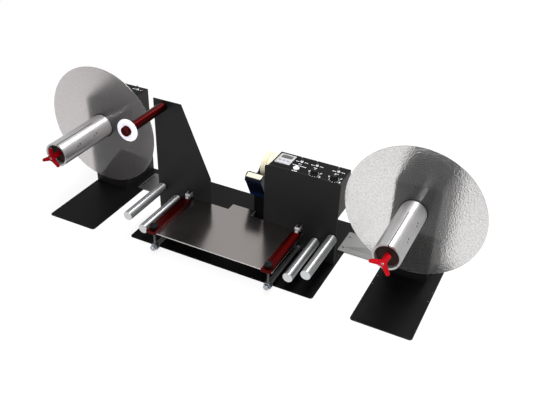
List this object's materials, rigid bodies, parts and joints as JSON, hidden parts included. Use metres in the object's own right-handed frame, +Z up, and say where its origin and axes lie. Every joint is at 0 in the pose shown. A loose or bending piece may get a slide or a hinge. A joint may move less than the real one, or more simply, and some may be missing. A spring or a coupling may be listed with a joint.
{
  "type": "label splicer",
  "caption": "Bench label splicer: powered reel stations with clear discs and expanding core tubes either side of idler rollers, a clamp table, a tape dispenser and a control box",
  "frame": {"origin": "on the bench surface, under the middle of the middle base plate and of its centre foot", "axes": "X runs along the machine to the right, Y runs to the back, Z is up; the splicing table and core tubes face -Y"},
  "size_m": [1.4389, 0.4749, 0.4525],
  "materials": {
    "black_paint": "fine textured powder coat",
    "satin_steel": "satin",
    "dark_steel": "blackened",
    "zinc_steel": "zinc plated",
    "chrome": "polished",
    "bronze": "turned",
    "brushed_aluminium": "finely turned",
    "red_anodised": "dark anodised",
    "white_plastic": "smooth",
    "black_plastic": "moulded",
    "switch_metal": "plain",
    "red_lamp": "clear lens",
    "cast_housing": "painted",
    "green_board": "lacquered",
    "navy_plastic": "moulded",
    "tape_paper": "paper",
    "rubber": "plain",
    "clear_disc": "lightly frosted sheet",
    "spindle_steel": "ground",
    "red_plastic": "smooth"
  },
  "bodies": {
    "frame": {"splice_base": "black_paint", "station_bases": "black_paint", "link_plates": "satin_steel", "left_tower": "black_paint", "right_tower": "black_paint", "control_housing": "black_paint", "rear_covers": "black_paint", "station_housings": "black_paint", "splicing_table": "satin_steel", "table_brackets": "black_paint", "clamp_rods": "dark_steel", "clamp_eye_bolts": "zinc_steel", "hinge_brackets": "chrome", "roller_shafts": "zinc_steel", "roller_bushes": "bronze", "roller_sensor": "zinc_steel", "counter": "black_plastic", "switch_bodies": "switch_metal", "pilot_lamps": "red_lamp", "potentiometers": "switch_metal", "spindle_bearings": "cast_housing", "gearmotors": "cast_housing", "motor_brackets": "satin_steel", "circuit_boards": "green_board", "power_inlets": "black_plastic", "tape_post": "black_plastic", "tape_dispenser": "navy_plastic", "tape_blade": "zinc_steel", "tape_strip": "tape_paper", "screws": "zinc_steel", "rubber_feet": "rubber"},
    "left_outer_roller": {"left_outer_roller": "brushed_aluminium"},
    "left_inner_roller": {"left_inner_roller": "brushed_aluminium"},
    "right_inner_roller": {"right_inner_roller": "brushed_aluminium"},
    "right_outer_roller": {"right_outer_roller": "brushed_aluminium"},
    "guide_roller": {"guide_roller": "red_anodised"},
    "guide_flange": {"guide_flange": "white_plastic"},
    "left_clamp_bar": {"left_clamp_bar": "red_anodised"},
    "left_clamp_knob": {"left_clamp_knob": "black_plastic"},
    "right_clamp_bar": {"right_clamp_bar": "red_anodised"},
    "right_clamp_knob": {"right_clamp_knob": "black_plastic"},
    "push_button": {"push_button": "white_plastic"},
    "left_toggle": {"left_toggle": "chrome"},
    "middle_toggle": {"middle_toggle": "chrome"},
    "right_toggle": {"right_toggle": "chrome"},
    "left_dial": {"left_dial": "black_plastic"},
    "right_dial": {"right_dial": "black_plastic"},
    "left_station_toggle": {"left_station_toggle": "chrome"},
    "right_station_toggle": {"right_station_toggle": "chrome"},
    "tape_roll": {"tape_roll": "tape_paper"},
    "left_spindle": {"left_spindle": "spindle_steel", "left_disc": "clear_disc", "left_core_tube": "brushed_aluminium"},
    "left_draw_cone": {"left_draw_cone": "black_plastic"},
    "left_knob": {"left_knob": "red_plastic"},
    "right_spindle": {"right_spindle": "spindle_steel", "right_disc": "clear_disc", "right_core_tube": "brushed_aluminium"},
    "right_draw_cone": {"right_draw_cone": "black_plastic"},
    "right_knob": {"right_knob": "red_plastic"}
  },
  "joints": [
    {"name": "left_outer_roller_turn", "type": "hinge", "parent": "frame", "child": "left_outer_roller", "pos_m": [-0.295, -0.12, 0.098], "axis": [0, 1, 0], "continuous": true},
    {"name": "left_inner_roller_turn", "type": "hinge", "parent": "frame", "child": "left_inner_roller", "pos_m": [-0.242, -0.12, 0.0685], "axis": [0, 1, 0], "continuous": true},
    {"name": "right_inner_roller_turn", "type": "hinge", "parent": "frame", "child": "right_inner_roller", "pos_m": [0.242, -0.12, 0.0685], "axis": [0, 1, 0], "continuous": true},
    {"name": "right_outer_roller_turn", "type": "hinge", "parent": "frame", "child": "right_outer_roller", "pos_m": [0.295, -0.12, 0.098], "axis": [0, 1, 0], "continuous": true},
    {"name": "guide_roller_turn", "type": "hinge", "parent": "frame", "child": "guide_roller", "pos_m": [-0.2755, -0.12, 0.3885], "axis": [0, 1, 0], "continuous": true},
    {"name": "guide_flange_slide", "type": "slide", "parent": "guide_roller", "child": "guide_flange", "axis": [0, 1, 0], "range_m": [0, 0.15]},
    {"name": "left_clamp_bar_lift", "type": "hinge", "parent": "frame", "child": "left_clamp_bar", "pos_m": [-0.19, -0.044, 0.1056], "axis": [-1, 0, 0], "range_deg": [0, 1.5]},
    {"name": "left_clamp_knob_turn", "type": "hinge", "parent": "left_clamp_bar", "child": "left_clamp_knob", "pos_m": [-0.19, -0.234, 0.105], "axis": [0, 0, 1], "range_deg": [0, 1440]},
    {"name": "right_clamp_bar_lift", "type": "hinge", "parent": "frame", "child": "right_clamp_bar", "pos_m": [0.19, -0.044, 0.1056], "axis": [-1, 0, 0], "range_deg": [0, 1.5]},
    {"name": "right_clamp_knob_turn", "type": "hinge", "parent": "right_clamp_bar", "child": "right_clamp_knob", "pos_m": [0.19, -0.234, 0.105], "axis": [0, 0, 1], "range_deg": [0, 1440]},
    {"name": "push_button_press", "type": "slide", "parent": "frame", "child": "push_button", "axis": [0, 0, -1], "range_m": [0, 0.0025], "stiffness_N_per_m": 300, "springref_m": -0.0006},
    {"name": "left_toggle_tilt", "type": "hinge", "parent": "frame", "child": "left_toggle", "pos_m": [0.16007, 0.03046, 0.2925], "axis": [1, 0, 0], "range_deg": [-14, 14]},
    {"name": "middle_toggle_tilt", "type": "hinge", "parent": "frame", "child": "middle_toggle", "pos_m": [0.20792, 0.03099, 0.2925], "axis": [1, 0, 0], "range_deg": [-14, 14]},
    {"name": "right_toggle_tilt", "type": "hinge", "parent": "frame", "child": "right_toggle", "pos_m": [0.27503, 0.03002, 0.2925], "axis": [1, 0, 0], "range_deg": [-14, 14]},
    {"name": "left_dial_turn", "type": "hinge", "parent": "frame", "child": "left_dial", "pos_m": [0.21811, -0.01398, 0.295], "axis": [0, 0, 1], "range_deg": [-150, 150]},
    {"name": "right_dial_turn", "type": "hinge", "parent": "frame", "child": "right_dial", "pos_m": [0.27902, -0.01398, 0.295], "axis": [0, 0, 1], "range_deg": [-150, 150]},
    {"name": "left_station_toggle_tilt", "type": "hinge", "parent": "frame", "child": "left_station_toggle", "pos_m": [-0.50506, 0.15392, 0.3215], "axis": [1, 0, 0], "range_deg": [-14, 14]},
    {"name": "right_station_toggle_tilt", "type": "hinge", "parent": "frame", "child": "right_station_toggle", "pos_m": [0.54994, 0.15392, 0.3215], "axis": [1, 0, 0], "range_deg": [-14, 14]},
    {"name": "tape_roll_turn", "type": "hinge", "parent": "frame", "child": "tape_roll", "pos_m": [0.005, 0.15894, 0.16704], "axis": [1, 0, 0], "continuous": true},
    {"name": "left_spindle_turn", "type": "hinge", "parent": "frame", "child": "left_spindle", "pos_m": [-0.528, -0.1, 0.254], "axis": [0, 1, 0], "continuous": true},
    {"name": "left_draw_cone_slide", "type": "slide", "parent": "left_spindle", "child": "left_draw_cone", "axis": [0, 1, 0], "range_m": [-0.00225, 0.00225]},
    {"name": "left_knob_turn", "type": "hinge", "parent": "left_draw_cone", "child": "left_knob", "pos_m": [-0.528, -0.26, 0.254], "axis": [0, 1, 0], "range_deg": [-540, 540]},
    {"name": "right_spindle_turn", "type": "hinge", "parent": "frame", "child": "right_spindle", "pos_m": [0.514, -0.1, 0.254], "axis": [0, 1, 0], "continuous": true},
    {"name": "right_draw_cone_slide", "type": "slide", "parent": "right_spindle", "child": "right_draw_cone", "axis": [0, 1, 0], "range_m": [-0.00225, 0.00225]},
    {"name": "right_knob_turn", "type": "hinge", "parent": "right_draw_cone", "child": "right_knob", "pos_m": [0.514, -0.26, 0.254], "axis": [0, 1, 0], "range_deg": [-540, 540]}
  ],
  "couplings": [
    {"joint": "left_clamp_knob_turn", "follows": "left_clamp_bar_lift", "ratio": 959.99},
    {"joint": "left_knob_turn", "follows": "left_draw_cone_slide", "rad_per_m": 4188.8},
    {"joint": "right_clamp_knob_turn", "follows": "right_clamp_bar_lift", "ratio": 959.99},
    {"joint": "right_knob_turn", "follows": "right_draw_cone_slide", "rad_per_m": 4188.8}
  ]
}
